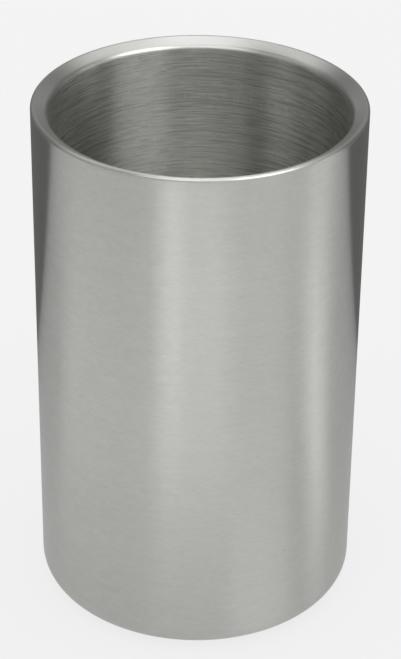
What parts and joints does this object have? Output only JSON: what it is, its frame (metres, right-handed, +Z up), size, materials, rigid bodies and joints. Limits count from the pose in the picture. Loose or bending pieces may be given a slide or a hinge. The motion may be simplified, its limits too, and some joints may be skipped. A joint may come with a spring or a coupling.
{
  "type": "double-walled bottle cooler",
  "caption": "Cylindrical double-walled cooler in brushed stainless steel, with a funnel rim around a deep round well that holds a wine or champagne bottle upright.",
  "frame": {"origin": "centre of the foot pad's lower face, which is the bottom centre of the bounding box", "axes": "+Z up along the axis of the cooler, out of the mouth of the well; +X and +Y are free, because the body is a solid of revolution"},
  "size_m": [0.12, 0.12, 0.1978],
  "materials": {
    "outer_steel": "fine brush lines that run round the wall, satin sheen",
    "inner_steel": "coarse brush lines that run round the well, satin funnel rim",
    "base_steel": "plain mill finish",
    "weld": "as welded, dull",
    "foam": "closed-cell foam",
    "adhesive": "double-sided film",
    "rubber": "matt, fine moulded grain"
  },
  "bodies": {
    "root": {"outer_shell": "outer_steel", "inner_liner": "inner_steel", "rim_weld": "weld", "base_plate": "base_steel", "base_weld": "weld", "vent_plug": "weld", "liner_support": "foam", "pad_adhesive": "adhesive", "foot_pad": "rubber"}
  },
  "joints": []
}
